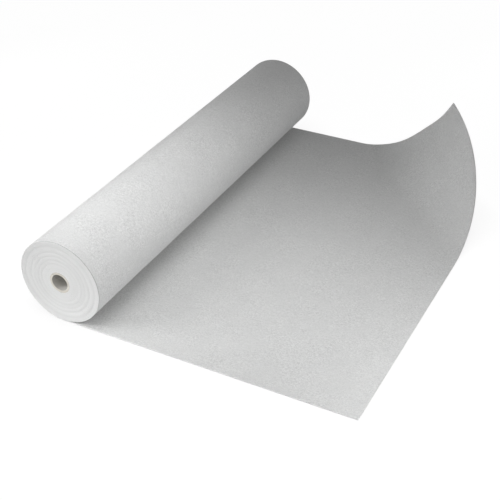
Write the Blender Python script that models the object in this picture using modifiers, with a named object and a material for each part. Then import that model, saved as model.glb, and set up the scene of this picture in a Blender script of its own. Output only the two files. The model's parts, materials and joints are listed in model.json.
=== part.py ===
"""A roll of needle-punched geotextile on a paper core, partly laid out on the ground.

The roll's axis runs along Y. The web leaves the roll at its lowest line, lies out along +X,
and the far corner of its free end curls up. The origin is on the ground, under the middle of
the whole object's box.
"""
import math

import bmesh
import bpy
import numpy as np
from mathutils import Vector
from mathutils.kdtree import KDTree

# Web, in metres
WEB_WIDTH = 2.0
WEB_THICKNESS = 0.0054
TURNS = 24
TURN_GAP = 0.0005  # air between one turn and the next
FREE_LENGTH = 1.3183  # laid out, from the line where the roll touches the ground
TOUCHDOWN_LENGTH = 0.06  # of that, the stretch under the roll's side

# Curled corner of the free end, as places on the flat web
CURL_START_ON_END = 1.0959  # along the end edge, from the near side
CURL_START_ON_SIDE = 0.506  # along the far side, from the line where the roll touches the ground
CURL_CORNER_SLOPE = math.radians(105.3)
CURL_SLOPE_SHARES = (1.6446, -1.1312, 0.4866)  # of the corner's slope, per power of the distance
CURL_TWIST_SHARE = 0.46  # how much steeper the bend is at the far side than at the end edge

# Paper core
CORE_BORE_RADIUS = 0.038
CORE_WALL = 0.01
CORE_CHAMFER = 0.001
CORE_MERGE_DISTANCE = 0.0001  # points of the turned tube this near are one

# Double-sided tape that holds the start of the web on the core
TAPE_LENGTH = 0.3
TAPE_THICKNESS = 0.00025
TAPE_MARGIN = 0.1  # from the web's edge to the outer tapes

# Clearance between pieces that touch, and between the web's own stretches
SEAT = 0.0003

# Facets, counts only
FACETS = 36  # in one turn, and round the core
TAPE_FACETS = 6
FLAT_CELL_COUNT = 2
CURL_CELL_COUNT_ALONG = 18
CURL_CELL_COUNT_ACROSS = 20
BEND_SAMPLES = 48
GAP_SAMPLES = 4  # measured points on each facet

STEP = 2 * math.pi / FACETS
SPREAD = 1 / math.cos(STEP / 2)  # from a facet's middle out to its corners
PITCH = WEB_THICKNESS + TURN_GAP
CORE_OUTER_RADIUS = CORE_BORE_RADIUS + CORE_WALL
TAPE_RADIUS = CORE_OUTER_RADIUS + SEAT + TAPE_THICKNESS / 2
FIRST_TURN_RADIUS = TAPE_RADIUS + TAPE_THICKNESS / 2 + SEAT + WEB_THICKNESS / 2
OUTER_TURN_RADIUS = FIRST_TURN_RADIUS + TURNS * PITCH
WOUND_ANGLE = 2 * math.pi * TURNS


def turn_radius(angle):
    """Radius of the web's middle line, the angle being counted inwards from its outer end."""
    return FIRST_TURN_RADIUS + PITCH * (TURNS - angle / (2 * math.pi))


LOWEST_RADIUS = turn_radius(STEP / 2)
AXIS_Z = LOWEST_RADIUS + WEB_THICKNESS / 2
AXIS_X = (turn_radius(math.pi / 2) + WEB_THICKNESS / 2 - FREE_LENGTH) / 2


def around(angle, radius):
    """Point beside the roll's axis, at this angle clockwise from straight down, seen along +Y."""
    return Vector((-radius * math.sin(angle), 0, -radius * math.cos(angle)))


def facet_line(first, last, radius_at):
    """Corners of the facets from one angle to another, both in the middle of a facet."""
    count = round((last - first) / STEP)
    angles = [first + (step + 0.5) * STEP for step in range(count)]
    corners = [around(angle, radius_at(angle) * SPREAD) for angle in angles]
    start = around(first, radius_at(angles[0]))
    end = around(last, radius_at(angles[-1]))
    return [start, *corners, end]


def wound_line():
    """Middle line of the wound web, from the ground in to the core."""
    return facet_line(0, WOUND_ANGLE, turn_radius)


def curl_height_and_reach(distance, steepness):
    """Rise, and length along the ground, of the web bent up over this distance from the fold."""
    slopes = []
    for sample in range(BEND_SAMPLES):
        share = distance / CURL_DEPTH * (sample + 0.5) / BEND_SAMPLES
        terms = [part * share ** (power + 1) for power, part in enumerate(CURL_SLOPE_SHARES)]
        slopes.append(CURL_CORNER_SLOPE * steepness * sum(terms))
    rise = sum(math.sin(slope) for slope in slopes) / BEND_SAMPLES * distance
    reach = sum(math.cos(slope) for slope in slopes) / BEND_SAMPLES * distance
    return rise, reach


FOLD_END = Vector((FREE_LENGTH, CURL_START_ON_END))
FOLD_SIDE = Vector((CURL_START_ON_SIDE, WEB_WIDTH))
FOLD_LENGTH = (FOLD_SIDE - FOLD_END).length
FOLD_WAY = (FOLD_SIDE - FOLD_END).normalized()
CURL_WAY = Vector((FOLD_WAY.y, -FOLD_WAY.x))
CURL_DEPTH = (Vector((FREE_LENGTH, WEB_WIDTH)) - FOLD_END).dot(CURL_WAY)


def laid_point(along, across):
    """Underside of the laid web, from its place on the flat web."""
    flat = Vector((along, across)) - FOLD_END
    distance = flat.dot(CURL_WAY)
    rise = 0
    if distance > 0:
        on_fold = flat.dot(FOLD_WAY)
        steepness = 1 + CURL_TWIST_SHARE * (on_fold / FOLD_LENGTH - 0.5)
        rise, reach = curl_height_and_reach(distance, steepness)
        flat += CURL_WAY * (reach - distance)
    place = FOLD_END + flat
    return Vector((AXIS_X + place.x, place.y - WEB_WIDTH / 2, rise))


def cells(*runs):
    """Places along runs of equal cells, each run given as its start, its end and its count."""
    places = [runs[0][0]]
    for start, end, count in runs:
        places += [start + (end - start) * (cell + 1) / count for cell in range(count)]
    return places


def make_collection(name):
    collection = bpy.data.collections.new(name)
    bpy.context.scene.collection.children.link(collection)
    return collection


def make_material(name, colour, roughness):
    material = bpy.data.materials.new(name)
    material.use_nodes = True
    shader = material.node_tree.nodes["Principled BSDF"]
    shader.inputs["Base Color"].default_value = (*colour, 1)
    shader.inputs["Roughness"].default_value = roughness
    shader.inputs["Metallic"].default_value = 0
    return material


def add_object(name, mesh, colour, roughness, parent=None):
    """Puts a mesh in the roll's collection, with its material and smooth shading."""
    mesh.materials.append(make_material(name + "_material", colour, roughness))
    mesh.shade_smooth()
    mesh.set_sharp_from_angle(angle=math.radians(30))
    piece = bpy.data.objects.new(name, mesh)
    ROLL_COLLECTION.objects.link(piece)
    piece.parent = parent
    return piece


def add_empty(name, location, parent=None):
    empty = bpy.data.objects.new(name, None)
    ROLL_COLLECTION.objects.link(empty)
    empty.location = location
    empty.parent = parent
    return empty


def add_sheet(name, alongs, acrosses, place, thickness, side, colour, roughness, parent=None):
    """A flat grid whose points are moved to their places, then given its thickness.

    side is 0 to thicken the grid both ways, and 1 to thicken it upwards alone.
    """
    mesh = bpy.data.meshes.new(name)
    grid = bmesh.new()
    last_along, last_across = len(alongs) - 1, len(acrosses) - 1
    bmesh.ops.create_grid(grid, x_segments=last_along, y_segments=last_across, size=0.5)
    for vertex in grid.verts:
        column = round((vertex.co.x + 0.5) * last_along)
        row = round((vertex.co.y + 0.5) * last_across)
        vertex.co = place(alongs[column], acrosses[row])
    grid.to_mesh(mesh)
    grid.free()
    sheet = add_object(name, mesh, colour, roughness, parent)
    solidify = sheet.modifiers.new("thickness", "SOLIDIFY")
    solidify.thickness = thickness
    solidify.offset = side
    solidify.use_even_offset = True
    return sheet


def add_wound_sheet(name, line, start, end, thickness, colour, roughness, parent):
    """A sheet that follows a line round the roll's axis, from one place across the web to another."""

    def place(index, across):
        return line[index] + Vector((0, across, 0))

    indices = range(len(line))
    return add_sheet(name, indices, [start, end], place, thickness, 0, colour, roughness, parent)


def add_core(colour, roughness, parent):
    """The paper tube: its wall's section, turned about the roll's axis."""
    half = WEB_WIDTH / 2
    outer = CORE_OUTER_RADIUS * SPREAD
    inner = CORE_BORE_RADIUS * SPREAD
    section = [
        (outer - CORE_CHAMFER, half),
        (outer, half - CORE_CHAMFER),
        (outer, CORE_CHAMFER - half),
        (outer - CORE_CHAMFER, -half),
        (inner + CORE_CHAMFER, -half),
        (inner, CORE_CHAMFER - half),
        (inner, half - CORE_CHAMFER),
        (inner + CORE_CHAMFER, half),
    ]
    mesh = bpy.data.meshes.new("core_tube")
    points = [(radius, 0, height) for radius, height in section]
    edges = [(corner, (corner + 1) % len(section)) for corner in range(len(section))]
    mesh.from_pydata(points, edges, [])
    core = add_object("core_tube", mesh, colour, roughness, parent)
    core.rotation_euler = (-math.pi / 2, STEP / 2, 0)
    screw = core.modifiers.new("turned", "SCREW")
    screw.steps = FACETS
    screw.render_steps = FACETS
    screw.use_merge_vertices = True
    screw.merge_threshold = CORE_MERGE_DISTANCE
    screw.use_smooth_shade = True
    return core


def add_tapes(colour, roughness, parent):
    """Three strips of tape under the first turn, near its start."""
    line = facet_line(WOUND_ANGLE - TAPE_FACETS * STEP, WOUND_ANGLE, lambda angle: TAPE_RADIUS)
    outermost = WEB_WIDTH / 2 - TAPE_MARGIN - TAPE_LENGTH / 2
    for name, middle in (("near", -outermost), ("middle", 0), ("far", outermost)):
        add_wound_sheet(
            "start_tape_" + name,
            line,
            middle - TAPE_LENGTH / 2,
            middle + TAPE_LENGTH / 2,
            TAPE_THICKNESS,
            colour,
            roughness,
            parent,
        )


def face_points(line, offset):
    """Points spread along one face of the wound web, each with its place along the web."""
    corners = np.array([(point.x, point.z) for point in line])
    runs = np.diff(corners, axis=0)
    normals = np.stack([runs[:, 1], -runs[:, 0]], axis=1) / np.linalg.norm(runs, axis=1)[:, None]
    shares = (np.arange(GAP_SAMPLES) + 0.5) / GAP_SAMPLES
    points = corners[:-1, None] + runs[:, None] * shares[:, None] + normals[:, None] * offset
    places = np.arange(len(runs))[:, None] + shares
    return points.reshape(-1, 2), places.reshape(-1)


def least_turn_gap(line):
    """Least distance between one turn's outer face and the next turn's inner face."""
    ends = [face_points(line, side * WEB_THICKNESS / 2) for side in (-1, 1)]
    tree = KDTree(len(ends[0][0]))
    for index, (x, z) in enumerate(ends[0][0]):
        tree.insert((x, 0, z), index)
    tree.balance()
    found = []
    for (x, z), place in zip(*ends[1]):
        for _, index, distance in tree.find_n((x, 0, z), GAP_SAMPLES):
            if abs(ends[0][1][index] - place) > FACETS / 2:
                found.append(distance)
    return min(found)


for old in list(bpy.data.objects):
    bpy.data.objects.remove(old, do_unlink=True)

ROLL_COLLECTION = make_collection("geotextile_roll")
FELT = ((0.72, 0.725, 0.72), 0.95)
PAPER = ((0.66, 0.62, 0.54), 0.85)
TAPE = ((0.8, 0.78, 0.7), 0.5)

travel = add_empty("roll_travel", (AXIS_X, 0, AXIS_Z))
spin = add_empty("roll_spin", (0, 0, 0), travel)
web_edges = (-WEB_WIDTH / 2, WEB_WIDTH / 2)

add_core(*PAPER, spin)
add_tapes(*TAPE, spin)
add_wound_sheet("wound_web", wound_line(), *web_edges, WEB_THICKNESS, *FELT, spin)

touchdown = cells((SEAT, TOUCHDOWN_LENGTH, FLAT_CELL_COUNT))
add_sheet(
    "touchdown_web",
    touchdown,
    web_edges,
    lambda along, across: Vector((along, across, -AXIS_Z)),
    WEB_THICKNESS,
    1,
    *FELT,
    travel,
)

laid_alongs = cells(
    (TOUCHDOWN_LENGTH + SEAT, CURL_START_ON_SIDE, FLAT_CELL_COUNT),
    (CURL_START_ON_SIDE, FREE_LENGTH, CURL_CELL_COUNT_ALONG),
)
laid_acrosses = cells(
    (0, CURL_START_ON_END, FLAT_CELL_COUNT),
    (CURL_START_ON_END, WEB_WIDTH, CURL_CELL_COUNT_ACROSS),
)
add_sheet("laid_web", laid_alongs, laid_acrosses, laid_point, WEB_THICKNESS, 1, *FELT)

gap = least_turn_gap(wound_line())
wound_length = sum((b - a).length for a, b in zip(wound_line(), wound_line()[1:]))
print(f"Least gap between the wound web's turns: {gap * 1000:.3f} mm")
print(f"Web wound on the roll: {wound_length:.2f} m, laid out: {FREE_LENGTH:.2f} m")
print(f"Roll's axis at x {AXIS_X:.5f} m, z {AXIS_Z:.5f} m; outer turn's radius {OUTER_TURN_RADIUS:.5f} m")
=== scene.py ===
import json
import math

import bpy
import numpy as np
from mathutils import Matrix, Vector

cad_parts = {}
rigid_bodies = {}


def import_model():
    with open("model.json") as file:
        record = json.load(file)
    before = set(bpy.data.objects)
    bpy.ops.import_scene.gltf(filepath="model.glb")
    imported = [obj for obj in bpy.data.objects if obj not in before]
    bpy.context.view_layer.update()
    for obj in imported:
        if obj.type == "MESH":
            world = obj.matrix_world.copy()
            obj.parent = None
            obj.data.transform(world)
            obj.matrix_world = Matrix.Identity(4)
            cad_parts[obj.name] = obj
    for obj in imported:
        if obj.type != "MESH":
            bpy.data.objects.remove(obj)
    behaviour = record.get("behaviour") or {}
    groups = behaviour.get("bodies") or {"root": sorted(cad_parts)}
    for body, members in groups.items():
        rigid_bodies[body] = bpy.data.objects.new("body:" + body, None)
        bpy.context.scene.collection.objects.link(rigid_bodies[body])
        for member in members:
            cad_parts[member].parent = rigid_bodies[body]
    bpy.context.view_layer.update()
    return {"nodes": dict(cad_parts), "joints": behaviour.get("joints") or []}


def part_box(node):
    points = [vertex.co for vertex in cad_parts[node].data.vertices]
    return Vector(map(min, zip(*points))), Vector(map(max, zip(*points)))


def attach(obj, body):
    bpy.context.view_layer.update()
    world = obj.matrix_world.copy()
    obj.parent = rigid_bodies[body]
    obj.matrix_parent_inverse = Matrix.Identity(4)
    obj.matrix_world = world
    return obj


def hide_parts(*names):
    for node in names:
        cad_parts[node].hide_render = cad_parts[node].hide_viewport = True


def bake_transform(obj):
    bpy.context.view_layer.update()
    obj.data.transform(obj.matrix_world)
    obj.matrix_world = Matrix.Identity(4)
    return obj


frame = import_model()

# Sizes and places read from the frame, in metres
AXIS = Vector(next(j["pos_m"] for j in frame["joints"] if j["name"] == "roll_spin"))
strip_low, strip_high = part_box("touchdown_web")
laid_low, laid_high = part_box("laid_web")
core_low, core_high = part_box("core_tube")
THICKNESS = strip_high.z - strip_low.z
WIDTH = laid_high.y - laid_low.y
FREE_LENGTH = laid_high.x - AXIS.x
CORE_OUTER = (core_high.x - core_low.x) / 2
OUTER_TURN = AXIS.z - THICKNESS / 2  # radius of the web's middle, where the roll meets the ground

# The winding
TURNS = 24
CORE_CLEARANCE = 0.00085  # from the core to the first turn of the solids, with the tape between them
CORE_HUG = 0.0003  # left between the core and the scene's innermost turn, which hugs it
TURN_GAP = 0.0001  # between one turn and the next
FIRST_TURN = CORE_OUTER + CORE_CLEARANCE + THICKNESS / 2
PITCH = (OUTER_TURN - FIRST_TURN) / TURNS
WOUND_THICKNESS = PITCH - TURN_GAP
OUTER_STEPS = 150  # round the outermost turn
INNER_STEPS = 72  # round each other turn
FULL_TURN = 2 * math.pi

# The curled corner, as places on the flat web
CURL_START_ON_END = 1.0959  # along the end edge, from the near side
CURL_START_ON_SIDE = 0.506  # along the far side, from the line where the roll touches the ground
CURL_CORNER_SLOPE = math.radians(105.3)
CURL_SLOPE_SHARES = (1.6446, -1.1312, 0.4866)  # of the corner's slope, per power of the distance
CURL_TWIST_SHARE = 0.46  # how much steeper the bend is at the far side than at the end edge
BEND_SAMPLES = 48  # of the slope, from the fold to a point of the web

# Ripple along the curl's raised side
RIPPLE_CREST = 0.95  # along the side, from the line where the roll touches the ground
RIPPLE_LENGTH = 0.4  # from crest to crest
RIPPLE_DEPTH = 0.008
RIPPLE_REACH = 0.25  # inwards from the side, where about a third of it is left
RIPPLE_ONSET = 0.03  # the rise at which it has half its depth

# Mesh of the felt
CELL = 0.008  # along and across the laid web
WOUND_CELL = 0.0096  # across the outermost turn
SHEET_SHARP_ANGLE = math.radians(50)
RIM_ROUND = 0.0009  # radius of the laid web's cut edges
RIM_STATION_SHARES = (0, 0.3, 1)  # of that radius, inwards from the edge
RIM_ROWS = len(RIM_STATION_SHARES) - 1
WOUND_ROUND_SHARES = (0.5, 0.25)  # of the laid web's rounding, on the outermost turn and on the others
SLOPE_STEP = RIM_ROUND / 4  # to each side of a point, where the laid web's slope is measured

# Relief of the felt, each height being from the lowest place to the highest
NOISE_CELLS = 256
WAVE_SIZE = 0.16
WAVE_HEIGHT = 0.0005
WAVE_DETAIL_SHARE = 0.5  # height of the finer waves, as a share of the coarse ones'
DIMPLE_SIZE = 0.024
DIMPLE_HEIGHT = 0.00022
DIMPLE_DETAIL_SHARE = 0.6  # height of the finer dimples, as a share of the coarse ones'
LAID_SEED = 11
WOUND_SEED = 21
TURN_SEED = 31

# The roll's end
RING_SHARES = (0.46, 0.55, 0.64, 0.745, 0.88)  # of the outer radius, where a soft ring is deepest
RING_WIDTH_SHARE = 0.03  # of the outer radius, to each side of that place
RING_DEPTH = 0.0011
RING_SHADE_TONE = 0.955  # share of its colour that the felt keeps there, painted shade of the rings' relief
TURN_JITTER = 0.0001  # how far a turn's edge wanders
OUTER_TURN_PROUD = 0.0004  # how far the outermost turn stands out past the others
OUTER_TURN_TUCK = 0.35  # angle over which the web falls back from there, in radians

# The paper core
BORE_RADIUS = 0.038
CORE_ROUND = 0.0005  # radius of the wall's outer corners
BORE_ROUND = 0.0009  # and of its inner ones
ARC_STEPS = 4  # in a rounded corner
CORE_STEPS = 128  # round the tube
CORE_SHARP_ANGLE = math.radians(40)
PLY_LEAD = 0.17  # along the tube, for one turn of a seam
SEAM_FADE = (0.004, 0.012)  # in leads, from the middle of a seam

# Ranges of a noise's value: the narrower one is, the harder the contrast
WIDE_RANGE = (0.3, 0.7)
MIDDLE_RANGE = (0.34, 0.66)
RING_RANGE = (0.35, 0.65)
NARROW_RANGE = (0.38, 0.62)

# Shares of the mottle that the darkest and the lightest tufts lose, in calm and in punched patches
CALM_LOSS = (0.78, 0.22)
PUNCHED_LOSS = (1.12, -0.12)

# Painted shade: a thin dark line along the felt's cut sides, and the felt beside it over which it fades
RIM_SHADE_WIDTH = 0.0026
RIM_SHADE_FADE = 0.0016

# Colours of each material, the dark one and the light one
LAID_TONES = ((0.815, 0.82, 0.817), (0.843, 0.847, 0.843))
# The wound felt is a lighter copy of the laid felt: painted light on the roll
WOUND_LIT_TONES = ((0.935, 0.94, 0.937), (0.96, 0.964, 0.96))
CUT_TONES = ((0.78, 0.783, 0.78), (0.81, 0.813, 0.809))
BOARD_TONES = ((0.68, 0.65, 0.58), (0.75, 0.72, 0.655))
# The bore's board is a darker, greyer copy of the core's: painted shade inside the bore
BORE_SHADED_TONES = ((0.59, 0.574, 0.54), (0.645, 0.63, 0.594))
TAPE_TONES = ((0.76, 0.74, 0.66), (0.82, 0.80, 0.72))

# Values of the shaders' own sockets
FELT_SURFACE = {
    "Roughness": 0.97,
    "Specular IOR Level": 0.15,
    "Sheen Weight": 0.12,
    "Sheen Roughness": 0.6,
}
CUT_SURFACE = {"Roughness": 0.95, "Specular IOR Level": 0.15}
BOARD_SURFACE = {"Roughness": 0.85, "Specular IOR Level": 0.3}
TAPE_SURFACE = {"Roughness": 0.45}

# Floor and backdrop
FLOOR_HALF_WIDTH = 40
FLOOR_DROP = 0.0004  # below the web, so that no two faces lie in one plane
FLOOR_COLOUR = (0.8, 0.8, 0.8, 1)
FLOOR_GLOW = 1.08  # strength of the floor's own white
FLOOR_WHITE_SHARE = 0.9  # of the floor's look, the rest being the light that falls on it
SHADOW_REACH = 0.22  # from the object, over which it darkens that white
SHADOW_SHARE = 0.85  # of its white that the floor keeps in the deepest shadow
SHADOW_SAMPLES = 16
WHITE = (1, 1, 1, 1)
WORLD_LIGHT = 0.2  # strength of the backdrop as a light
BACKDROP_LIGHT = 1.0  # and of the backdrop that is seen

# Lamps: name, place, the place that it faces, width, power in watts, and spread in degrees
LAMPS = (
    ("left", (-2.0, -2.2, 1.3), (-0.3, -1.0, 0.1), 2.4, 6.7, 50),
    ("near_end", (-1.1, -2.6, 0.2), (-0.5, -1.0, 0.1), 0.5, 0.5, 50),
    ("front", (-0.4, -1.6, 1.6), (-0.1, -0.5, 0.1), 1.6, 4.6, 115),
    ("right", (1.5, -0.4, 1.2), (-0.1, -1.0, 0.1), 1.6, 6.9, 120),
    ("corner", (1.2, -1.6, 1.2), (1.1, -1.0, 0.1), 0.8, 0.92, 50),
    ("back", (-2.6, 0.8, 1.0), (-0.2, 0.2, 0.1), 1.6, 3.6, 150),
    ("behind", (0.6, 3.0, 0.4), (0.1, 1.0, 0.2), 0.75, 1.3, 70),
    ("top", (-0.3, -0.6, 1.5), (-0.5, -0.6, 0.1), 1.2, 1.08, 80),
    ("far_top", (-0.3, -0.1, 1.5), (-0.5, -0.1, 0.1), 1.2, 0.3, 50),
)

# Camera, its lens and sensor in millimetres
CAMERA_PLACE = Vector((1.7022, -3.5804, 2.5925))
CAMERA_AZIMUTH = math.radians(28.2)
CAMERA_ELEVATION = math.radians(33.94)
CAMERA_ROLL = math.radians(-0.92)
CAMERA_LENS = 72.8
CAMERA_SENSOR = 36


def add_object(name, data):
    """A new object in the scene."""
    piece = bpy.data.objects.new(name, data)
    bpy.context.scene.collection.objects.link(piece)
    return piece


def smooth_piece(name, points, faces, materials, slots, sharp_angle):
    """A piece that is shaded smooth up to the sharp angle, slots being each face's material number."""
    mesh = bpy.data.meshes.new(name)
    mesh.from_pydata(points, [], faces)
    for material in materials:
        mesh.materials.append(material)
    mesh.polygons.foreach_set("material_index", slots)
    mesh.update()
    mesh.shade_smooth()
    mesh.set_sharp_from_angle(angle=sharp_angle)
    return add_object(name, mesh)


def value_noise(x, y, size, seed):
    """Smooth bumps of about this size, from -1 to 1, at arrays of places."""
    table = np.random.default_rng(seed).uniform(-1, 1, (NOISE_CELLS, NOISE_CELLS))
    column, row = np.floor(x / size).astype(int), np.floor(y / size).astype(int)
    u, v = x / size - column, y / size - row
    u, v = u * u * (3 - 2 * u), v * v * (3 - 2 * v)
    left, right = column % NOISE_CELLS, (column + 1) % NOISE_CELLS
    low, high = row % NOISE_CELLS, (row + 1) % NOISE_CELLS
    bottom = table[left, low] * (1 - u) + table[right, low] * u
    top = table[left, high] * (1 - u) + table[right, high] * u
    return bottom * (1 - v) + top * v


def bumps(x, y, size, detail_share, seed):
    """Bumps of this size with finer ones of half the size on them, from -0.5 to 0.5."""
    coarse = value_noise(x, y, size, seed)
    fine = value_noise(x, y, size / 2, seed + 1)
    return (coarse + detail_share * fine) / (2 + 2 * detail_share)


def relief(x, y, seed):
    """Height of the felt's face above or below its mean one: long waves and shallow dimples."""
    waves = bumps(x, y, WAVE_SIZE, WAVE_DETAIL_SHARE, seed)
    dimples = bumps(x, y, DIMPLE_SIZE, DIMPLE_DETAIL_SHARE, seed + 2)
    return WAVE_HEIGHT * waves + DIMPLE_HEIGHT * dimples


def stations(start, end, cell, rounded_start=True):
    """Places from start to end, about a cell apart, and closer together at a rounded edge."""
    inset = [share * RIM_ROUND for share in RIM_STATION_SHARES]
    first = [start + step for step in inset] if rounded_start else [start]
    last = [end - step for step in reversed(inset)]
    count = max(1, round((last[0] - first[-1]) / cell))
    middle = np.linspace(first[-1], last[0], count + 1)
    return np.array([*first[:-1], *middle, *last[1:]])


def rim_share(distance):
    """Share of the rounding that is left at this distance from a cut edge: 1 at the edge, 0 inside."""
    inward = np.clip(1 - distance / RIM_ROUND, 0, 1)
    return 1 - np.sqrt(1 - inward**2)


def sheet_piece(name, faces_up, faces_down, columns, materials):
    """A closed sheet from the points of its two faces.

    Each face is a list of columns of points. A column may have fewer points than the one before
    it, if its points' places are among that one's, and columns holds each point's place. The sheet's
    cut edges, and the rounded rows of faces beside its cut sides, get the second material.
    """
    points, index = [], []
    for grid in (faces_up, faces_down):
        index.append([])
        for column in grid:
            index[-1].append(np.arange(len(points), len(points) + len(column)))
            points.extend(column)
    faces, slots = [], []
    for side, grid in enumerate(index):
        for number in range(len(grid) - 1):
            here, there = grid[number], grid[number + 1]
            matches = np.searchsorted(columns[number], columns[number + 1])
            rows = len(there) - 1
            for row in range(rows):
                run = here[matches[row] : matches[row + 1] + 1]
                face = [*run, there[row + 1], there[row]]
                faces.append(face if side == 0 else face[::-1])
                slots.append(int(row < RIM_ROWS or row >= rows - RIM_ROWS))
    for low, high in ((index[0][0], index[1][0]), (index[1][-1], index[0][-1])):
        for row in range(len(low) - 1):
            faces.append([low[row], low[row + 1], high[row + 1], high[row]][::-1])
    for edge in (0, -1):
        up = [grid[edge] for grid in index[0]]
        down = [grid[edge] for grid in index[1]]
        for number in range(len(up) - 1):
            face = [up[number], up[number + 1], down[number + 1], down[number]]
            faces.append(face if edge == -1 else face[::-1])
    slots += [1] * (len(faces) - len(slots))
    points = [tuple(point) for point in points]
    faces = [[int(corner) for corner in face] for face in faces]
    return smooth_piece(name, points, faces, materials, slots, SHEET_SHARP_ANGLE)


def bend(distance, steepness):
    """Rise, and length along the ground, of the web bent up over this distance from the fold."""
    shares = (np.arange(BEND_SAMPLES) + 0.5) / BEND_SAMPLES
    share = distance[..., None] / CURL_DEPTH * shares
    slope = sum(part * share ** (power + 1) for power, part in enumerate(CURL_SLOPE_SHARES))
    slope = slope * CURL_CORNER_SLOPE * steepness[..., None]
    return np.sin(slope).mean(-1) * distance, np.cos(slope).mean(-1) * distance


FOLD_END = np.array((FREE_LENGTH, CURL_START_ON_END))
FOLD_SIDE = np.array((CURL_START_ON_SIDE, WIDTH))
FOLD_LENGTH = np.linalg.norm(FOLD_SIDE - FOLD_END)
FOLD_WAY = (FOLD_SIDE - FOLD_END) / FOLD_LENGTH
CURL_WAY = np.array((FOLD_WAY[1], -FOLD_WAY[0]))
CURL_DEPTH = (np.array((FREE_LENGTH, WIDTH)) - FOLD_END) @ CURL_WAY


def ripple(along, across, rise):
    """How far the curl's raised side dips below its plain bend."""
    wave = (1 - np.cos((along - RIPPLE_CREST) / RIPPLE_LENGTH * FULL_TURN)) / 2
    inward = np.exp(-(((WIDTH - across) / RIPPLE_REACH) ** 2))
    return RIPPLE_DEPTH * wave * inward * rise / (rise + RIPPLE_ONSET)


def laid_points(along, across):
    """Underside of the laid web, from places on the flat web."""
    flat = np.stack([along, across], -1) - FOLD_END
    distance = flat @ CURL_WAY
    steepness = 1 + CURL_TWIST_SHARE * (flat @ FOLD_WAY / FOLD_LENGTH - 0.5)
    rise, reach = bend(np.maximum(distance, 0), steepness)
    reach = np.where(distance > 0, reach, distance)
    rise = rise - ripple(along, across, rise)
    place = FOLD_END + (flat @ FOLD_WAY)[..., None] * FOLD_WAY + reach[..., None] * CURL_WAY
    return np.stack([AXIS.x + place[..., 0], place[..., 1] - WIDTH / 2, rise], -1)


def laid_normals(along, across):
    """Way that the laid web's upper face looks."""
    way_x = laid_points(along + SLOPE_STEP, across) - laid_points(along - SLOPE_STEP, across)
    way_y = laid_points(along, across + SLOPE_STEP) - laid_points(along, across - SLOPE_STEP)
    normal = np.cross(way_x, way_y)
    return normal / np.linalg.norm(normal, axis=-1, keepdims=True)


def make_laid_web(felt, cut_edge):
    """The free end of the web, from the line where the roll touches the ground to its cut edge."""
    alongs = stations(0, FREE_LENGTH, CELL, rounded_start=False)
    acrosses = stations(0, WIDTH, CELL)
    along, across = np.meshgrid(alongs, acrosses, indexing="ij")
    under, normal = laid_points(along, across), laid_normals(along, across)
    edge = np.minimum(np.minimum(across, WIDTH - across), FREE_LENGTH - along)
    rounding = RIM_ROUND * rim_share(edge)
    up = under + normal * (THICKNESS - rounding + relief(along, across, LAID_SEED))[..., None]
    down = under + normal * rounding[..., None]
    web = sheet_piece("laid_web_felt", up, down, [acrosses] * len(alongs), (felt, cut_edge))
    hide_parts("laid_web", "touchdown_web")
    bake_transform(web)


def edge_shift(radius, angle):
    """How far a turn's cut edge lies inside the roll's end, which the outermost turn alone reaches.

    The rest lies in soft rings, and each turn wanders a little.
    """
    share = radius / OUTER_TURN
    rings = sum(np.exp(-(((share - ring) / RING_WIDTH_SHARE) ** 2)) for ring in RING_SHARES)
    inner = np.clip((angle - FULL_TURN) / OUTER_TURN_TUCK + 0.5, 0, 1)
    wander = value_noise((OUTER_TURN - radius) / PITCH, angle, size=1, seed=TURN_SEED)
    settled = RING_DEPTH * rings + TURN_JITTER * (1 + wander) / 2
    return settled + OUTER_TURN_PROUD * inner**2 * (3 - 2 * inner)


def wound_column(angle, out, acrosses):
    """Points across the winding, this far out from the axis.

    The angle runs from straight down, clockwise as the near end shows it.
    """
    out = np.broadcast_to(out, acrosses.shape)
    place_y = acrosses * (1 - edge_shift(out, np.full(out.shape, angle)) / (WIDTH / 2))
    x = AXIS.x - out * math.sin(angle)
    z = np.maximum(AXIS.z - out * math.cos(angle), 0)
    return np.stack([x, place_y, z], -1)


def make_wound_web(felt, cut_edge):
    """The web on the roll: a sheet wound from the ground in to the core, which its last turn hugs."""
    outer = np.linspace(0, FULL_TURN, OUTER_STEPS + 1)
    inner = np.linspace(FULL_TURN, FULL_TURN * TURNS, (TURNS - 1) * INNER_STEPS + 1)[1:]
    fine = stations(-WIDTH / 2, WIDTH / 2, WOUND_CELL)
    coarse = np.concatenate([fine[: RIM_ROWS + 1], fine[-RIM_ROWS - 1 :]])
    half = WOUND_THICKNESS / 2
    ups, downs, columns = [], [], []
    for angle in np.concatenate([outer, inner]):
        outermost = angle <= FULL_TURN
        acrosses = fine if outermost else coarse
        radius = FIRST_TURN + PITCH * (TURNS - angle / FULL_TURN)
        rounding = RIM_ROUND * rim_share(WIDTH / 2 - np.abs(acrosses))
        rounding = rounding * WOUND_ROUND_SHARES[0 if outermost else 1]
        pushed = relief(angle * OUTER_TURN, acrosses, WOUND_SEED) if outermost else 0
        under = radius - half if angle <= FULL_TURN * (TURNS - 1) else CORE_OUTER + CORE_HUG
        ups.append(wound_column(angle, radius + half - rounding + pushed, acrosses))
        downs.append(wound_column(angle, under + rounding, acrosses))
        columns.append(acrosses)
    web = sheet_piece("wound_web_felt", ups, downs, columns, (felt, cut_edge))
    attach(web, "roll")
    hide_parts("wound_web")


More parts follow.
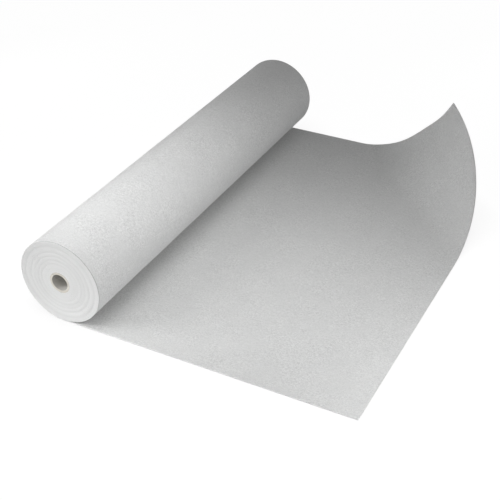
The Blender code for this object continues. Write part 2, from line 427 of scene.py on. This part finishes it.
def turned_piece(name, section, steps, inside, materials):
    """A closed section of radius and height, turned about the roll's axis.

    The faces after the section's corner number inside get the second material.
    """
    points = [
        (AXIS.x + radius * math.sin(angle), height, AXIS.z + radius * math.cos(angle))
        for angle in np.arange(steps) / steps * FULL_TURN
        for radius, height in section
    ]
    size = len(section)
    faces, slots = [], []
    for step in range(steps):
        here, ahead = step * size, (step + 1) % steps * size
        for corner in range(size):
            after = (corner + 1) % size
            faces.append((here + corner, here + after, ahead + after, ahead + corner))
            slots.append(int(corner == inside))
    return smooth_piece(name, points, faces, materials, slots, CORE_SHARP_ANGLE)


def corner_arc(radius, height, out_radius, out_height, rounding):
    """Points of a rounded corner of the tube's wall, out_radius and out_height being -1 or 1."""
    arc = []
    for step in range(ARC_STEPS + 1):
        angle = step / ARC_STEPS * math.pi / 2
        in_radius, in_height = math.cos(angle) - 1, math.sin(angle) - 1
        arc.append((radius + out_radius * rounding * in_radius, height + out_height * rounding * in_height))
    return arc


def make_core(board, shaded_bore_board):
    """The paper tube, with its cut ends slightly rounded."""
    half = WIDTH / 2
    to_bore = [
        *corner_arc(CORE_OUTER, half, 1, 1, CORE_ROUND),
        *corner_arc(BORE_RADIUS, half, -1, 1, BORE_ROUND)[::-1],
    ]
    section = [
        *to_bore,
        *corner_arc(BORE_RADIUS, -half, -1, -1, BORE_ROUND),
        *corner_arc(CORE_OUTER, -half, 1, -1, CORE_ROUND)[::-1],
    ]
    inside = len(to_bore) - 1
    core = turned_piece("paper_core", section, CORE_STEPS, inside, (board, shaded_bore_board))
    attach(core, "roll")
    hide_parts("core_tube")


def new_material(name):
    """A material, its node tree and its shader."""
    material = bpy.data.materials.new(name)
    material.use_nodes = True
    return material, material.node_tree, material.node_tree.nodes["Principled BSDF"]


def add_node(tree, kind, values=(), **settings):
    """A node with these settings and input values, a value being a number, a colour or a socket."""
    node = tree.nodes.new(kind)
    for name, value in settings.items():
        setattr(node, name, value)
    for name, value in dict(values).items():
        if isinstance(value, bpy.types.NodeSocket):
            tree.links.new(value, node.inputs[name])
        else:
            node.inputs[name].default_value = value
    return node


def object_place(tree):
    return add_node(tree, "ShaderNodeTexCoord").outputs["Object"]


def maths(tree, operation, *values):
    """Result of this operation on one number or two."""
    return add_node(tree, "ShaderNodeMath", dict(enumerate(values)), operation=operation).outputs[0]


def vector_maths(tree, operation, *values):
    """Results of this operation on one vector or two: a vector and a number."""
    return add_node(tree, "ShaderNodeVectorMath", dict(enumerate(values)), operation=operation).outputs


def noise(tree, place, scale, detail, roughness=0.5, distortion=0.0):
    """A noise's value, its scale being in bumps for each metre."""
    values = {"Vector": place, "Scale": scale, "Detail": detail}
    values |= {"Roughness": roughness, "Distortion": distortion}
    return add_node(tree, "ShaderNodeTexNoise", values).outputs[0]


def ring_noise(tree, radius, scale, detail):
    """Noise that changes with the distance from the axis alone."""
    values = {"W": radius, "Scale": scale, "Detail": detail}
    return add_node(tree, "ShaderNodeTexNoise", values, noise_dimensions="1D").outputs[0]


def between(tree, value, bounds, least=0, most=1):
    """A number from least to most, as the value goes from the first bound to the second."""
    low, high = bounds
    values = {"Value": value, "From Min": low, "From Max": high, "To Min": least, "To Max": most}
    return add_node(tree, "ShaderNodeMapRange", values).outputs[0]


def mixed(tree, value, tones):
    """A colour between a dark and a light one, as a noise's value goes from low to high."""
    dark, light = tones
    values = {0: between(tree, value, WIDE_RANGE), 6: (*dark, 1), 7: (*light, 1)}
    return add_node(tree, "ShaderNodeMix", values, data_type="RGBA").outputs[2]


def dimmed(tree, colour, share):
    """The colour, multiplied by a share."""
    values = {0: 1, 6: colour, 7: share}
    return add_node(tree, "ShaderNodeMix", values, data_type="RGBA", blend_type="MULTIPLY").outputs[2]


def bump(tree, height, distance, strength, normal=None):
    """A surface's way of facing, with this height added to the bumps that it has."""
    values = {"Height": height, "Distance": distance, "Strength": strength}
    if normal is not None:
        values["Normal"] = normal
    return add_node(tree, "ShaderNodeBump", values).outputs[0]


def dress(tree, shader, colour, normal, surface):
    """Gives a shader its colour, its bumps and the values of its own sockets."""
    tree.links.new(colour, shader.inputs["Base Color"])
    tree.links.new(normal, shader.inputs["Normal"])
    for name, value in surface.items():
        shader.inputs[name].default_value = value


def from_axis(tree, place):
    """The place as seen from the roll's axis, and its distance from it."""
    moved = vector_maths(tree, "SUBTRACT", place, (AXIS.x, 0, AXIS.z))[0]
    flat = vector_maths(tree, "MULTIPLY", moved, (1, 0, 1))[0]
    return moved, vector_maths(tree, "LENGTH", flat)[1]


def painted_ring_shade(tree, radius):
    """A share that is a little less than 1 in the soft rings of the roll's end: painted shade of their
    relief.
    """
    node = add_node(tree, "ShaderNodeValToRGB", {0: maths(tree, "DIVIDE", radius, OUTER_TURN)})
    stops = node.color_ramp.elements
    stops[0].color = stops[1].color = WHITE
    for ring in RING_SHARES:
        for place, value in ((ring - RING_WIDTH_SHARE, 1), (ring, RING_SHADE_TONE), (ring + RING_WIDTH_SHARE, 1)):
            stops.new(place).color = (value, value, value, 1)
    return node.outputs[0]


def rim_shade_share(tree, place, rim_shade_tone):
    """Share of its colour that the felt keeps in the painted shade along the cut sides."""
    outward = maths(tree, "ABSOLUTE", add_node(tree, "ShaderNodeSeparateXYZ", {0: place}).outputs[1])
    shade_start = WIDTH / 2 - RIM_SHADE_WIDTH
    return between(tree, outward, (shade_start, shade_start - RIM_SHADE_FADE), least=rim_shade_tone)


def make_felt(name, tones, mottle, rim_shade_tone):
    """Needle-punched felt: matted fibres, small tufts and faint cloudy patches.

    The mottle is about the share of its colour that the darkest tufts lose, more in some patches
    than in others, and the rim shade tone is the share that it keeps in the painted shade along the cut
    sides.
    """
    material, tree, shader = new_material(name)
    place = object_place(tree)
    clouds = noise(tree, place, scale=9, detail=3)
    punched = noise(tree, place, scale=8, detail=2, distortion=0.8)
    patches = noise(tree, place, scale=40, detail=2, distortion=0.6)
    tufts = noise(tree, place, scale=150, detail=2, roughness=0.55, distortion=1.2)
    matting = noise(tree, place, scale=380, detail=3, roughness=0.6, distortion=2.0)
    fibres = noise(tree, place, scale=1500, detail=2, roughness=0.6, distortion=3.0)
    least, most = (
        between(tree, punched, NARROW_RANGE, least=1 - mottle * calm, most=1 - mottle * worn)
        for calm, worn in zip(CALM_LOSS, PUNCHED_LOSS)
    )
    colour = mixed(tree, clouds, tones)
    colour = dimmed(tree, colour, between(tree, patches, WIDE_RANGE, least=0.98))
    colour = dimmed(tree, colour, between(tree, tufts, MIDDLE_RANGE, least, most))
    colour = dimmed(tree, colour, between(tree, matting, MIDDLE_RANGE, least=1 - mottle / 2))
    colour = dimmed(tree, colour, between(tree, fibres, WIDE_RANGE, least=0.96))
    # painted shade along the cut sides
    colour = dimmed(tree, colour, rim_shade_share(tree, place, rim_shade_tone))
    normal = bump(tree, patches, distance=0.005, strength=0.2)
    normal = bump(tree, tufts, distance=0.003, strength=0.7, normal=normal)
    normal = bump(tree, matting, distance=0.0012, strength=0.6, normal=normal)
    normal = bump(tree, fibres, distance=0.0004, strength=0.4, normal=normal)
    dress(tree, shader, colour, normal, FELT_SURFACE)
    return material


def make_cut_edge():
    """The web's cut edge: fibres sheared close, in faint rings where turn lies on turn, and painted shade
    in the soft rings of the roll's end.
    """
    material, tree, shader = new_material("cut_edge")
    place = object_place(tree)
    grain = noise(tree, place, scale=300, detail=3, roughness=0.6, distortion=1.0)
    fibres = noise(tree, place, scale=1500, detail=2, roughness=0.6, distortion=3.0)
    radius = from_axis(tree, place)[1]
    rings = ring_noise(tree, radius, scale=50, detail=1)
    colour = mixed(tree, grain, CUT_TONES)
    colour = dimmed(tree, colour, between(tree, fibres, WIDE_RANGE, least=0.95))
    # painted shade in the soft rings of the roll's end
    colour = dimmed(tree, colour, painted_ring_shade(tree, radius))
    colour = dimmed(tree, colour, between(tree, rings, RING_RANGE, least=0.97))
    normal = bump(tree, grain, distance=0.0006, strength=0.4)
    normal = bump(tree, fibres, distance=0.0003, strength=0.4, normal=normal)
    dress(tree, shader, colour, normal, CUT_SURFACE)
    return material


def make_board(name, tones, seam_tone):
    """Spiral-wound core board: a soft fibre, thin plies at the cut end, and helical ply seams."""
    material, tree, shader = new_material(name)
    place = object_place(tree)
    moved, radius = from_axis(tree, place)
    x, y, z = add_node(tree, "ShaderNodeSeparateXYZ", {0: moved}).outputs
    turns = maths(tree, "DIVIDE", maths(tree, "ARCTAN2", x, z), FULL_TURN)
    leads = maths(tree, "DIVIDE", y, PLY_LEAD)
    seam = maths(tree, "PINGPONG", maths(tree, "ADD", turns, leads), 1)
    grain = noise(tree, place, scale=260, detail=4, roughness=0.6, distortion=0.8)
    patches = noise(tree, place, scale=30, detail=3)
    plies = ring_noise(tree, radius, scale=900, detail=1)
    colour = mixed(tree, patches, tones)
    colour = dimmed(tree, colour, between(tree, grain, WIDE_RANGE, least=0.9))
    colour = dimmed(tree, colour, between(tree, plies, WIDE_RANGE, least=0.93))
    colour = dimmed(tree, colour, between(tree, seam, SEAM_FADE, least=seam_tone))
    normal = bump(tree, grain, distance=0.0006, strength=0.5)
    dress(tree, shader, colour, normal, BOARD_SURFACE)
    return material


def make_tape_material():
    """Cream double-sided tape."""
    material, tree, shader = new_material("start_tape")
    grain = noise(tree, object_place(tree), scale=300, detail=3)
    normal = bump(tree, grain, distance=0.0003, strength=0.3)
    dress(tree, shader, mixed(tree, grain, TAPE_TONES), normal, TAPE_SURFACE)
    return material


def dress_tapes(material):
    for name, node in frame["nodes"].items():
        if name.startswith("start_tape"):
            node.data.materials.clear()
            node.data.materials.append(material)


def backdrop_ray(tree):
    """1 for a ray that sees the backdrop, straight on, in a gloss or through glass, else 0."""
    rays = add_node(tree, "ShaderNodeLightPath").outputs
    seen = maths(tree, "MAXIMUM", rays["Is Camera Ray"], rays["Is Glossy Ray"])
    return maths(tree, "MAXIMUM", seen, rays["Is Transmission Ray"])


def make_floor():
    """A white floor that keeps part of the object's shadow."""
    size = FLOOR_HALF_WIDTH
    mesh = bpy.data.meshes.new("floor")
    corners = [(-size, -size, 0), (size, -size, 0), (size, size, 0), (-size, size, 0)]
    mesh.from_pydata(corners, [], [(0, 1, 2, 3)])
    floor = add_object("floor", mesh)
    floor.location.z = -FLOOR_DROP
    material, tree = new_material("floor")[:2]
    tree.nodes.clear()
    diffuse = add_node(tree, "ShaderNodeBsdfDiffuse", {"Color": FLOOR_COLOUR})
    near = add_node(tree, "ShaderNodeAmbientOcclusion", {"Distance": SHADOW_REACH}, samples=SHADOW_SAMPLES)
    shadow = between(tree, near.outputs["AO"], (0, 1), least=SHADOW_SHARE)
    white = add_node(tree, "ShaderNodeEmission", {"Color": shadow, "Strength": FLOOR_GLOW})
    share = maths(tree, "MULTIPLY", backdrop_ray(tree), FLOOR_WHITE_SHARE)
    values = {0: share, 1: diffuse.outputs[0], 2: white.outputs[0]}
    blended = add_node(tree, "ShaderNodeMixShader", values)
    add_node(tree, "ShaderNodeOutputMaterial", {"Surface": blended.outputs[0]})
    mesh.materials.append(material)


def make_world():
    """A white backdrop, and soft grey light from it."""
    world = bpy.data.worlds.new("studio")
    bpy.context.scene.world = world
    world.use_nodes = True
    tree = world.node_tree
    tree.nodes.clear()
    soft = add_node(tree, "ShaderNodeBackground", {"Color": WHITE, "Strength": WORLD_LIGHT})
    white = add_node(tree, "ShaderNodeBackground", {"Color": WHITE, "Strength": BACKDROP_LIGHT})
    values = {0: backdrop_ray(tree), 1: soft.outputs[0], 2: white.outputs[0]}
    blended = add_node(tree, "ShaderNodeMixShader", values)
    add_node(tree, "ShaderNodeOutputWorld", {"Surface": blended.outputs[0]})


def add_lamp(name, place, target, width, power, spread_degrees):
    """A round soft lamp, whose grid keeps its light within the spread."""
    lamp = bpy.data.lights.new(name, "AREA")
    lamp.shape = "DISK"
    lamp.size = width
    lamp.spread = math.radians(spread_degrees)
    lamp.energy = power
    holder = add_object(name, lamp)
    holder.location = place
    holder.rotation_euler = (Vector(target) - Vector(place)).to_track_quat("-Z", "Y").to_euler()


def make_camera():
    """The main view, from above and beyond the laid web's near corner."""
    camera = bpy.data.cameras.new("camera")
    camera.lens = CAMERA_LENS
    camera.sensor_width = CAMERA_SENSOR
    holder = add_object("camera", camera)
    turn = Matrix.Rotation(CAMERA_AZIMUTH, 4, "Z")
    turn @= Matrix.Rotation(math.pi / 2 - CAMERA_ELEVATION, 4, "X")
    turn @= Matrix.Rotation(CAMERA_ROLL, 4, "Z")
    holder.matrix_world = Matrix.Translation(CAMERA_PLACE) @ turn
    bpy.context.scene.camera = holder


def clear_start_scene():
    for old in list(bpy.data.objects):
        if old.type in ("CAMERA", "LIGHT") or old.name == "Cube":
            bpy.data.objects.remove(old, do_unlink=True)


clear_start_scene()
bpy.context.scene.view_settings.view_transform = "Standard"
laid_felt = make_felt("laid_felt", LAID_TONES, mottle=0.205, rim_shade_tone=1)
# lighter than the laid felt, painted light on the roll, with painted shade along its cut sides
lit_wound_felt = make_felt("lit_wound_felt", WOUND_LIT_TONES, mottle=0.19, rim_shade_tone=0.5)
cut_edge = make_cut_edge()
board = make_board("core_board", BOARD_TONES, seam_tone=0.7)
# a darker copy of the board: painted shade inside the bore
shaded_bore_board = make_board("core_board_inside_shaded", BORE_SHADED_TONES, seam_tone=0.85)
make_camera()
make_laid_web(laid_felt, cut_edge)
make_wound_web(lit_wound_felt, cut_edge)
make_core(board, shaded_bore_board)
dress_tapes(make_tape_material())
make_floor()
make_world()
for lamp in LAMPS:
    add_lamp(*lamp)
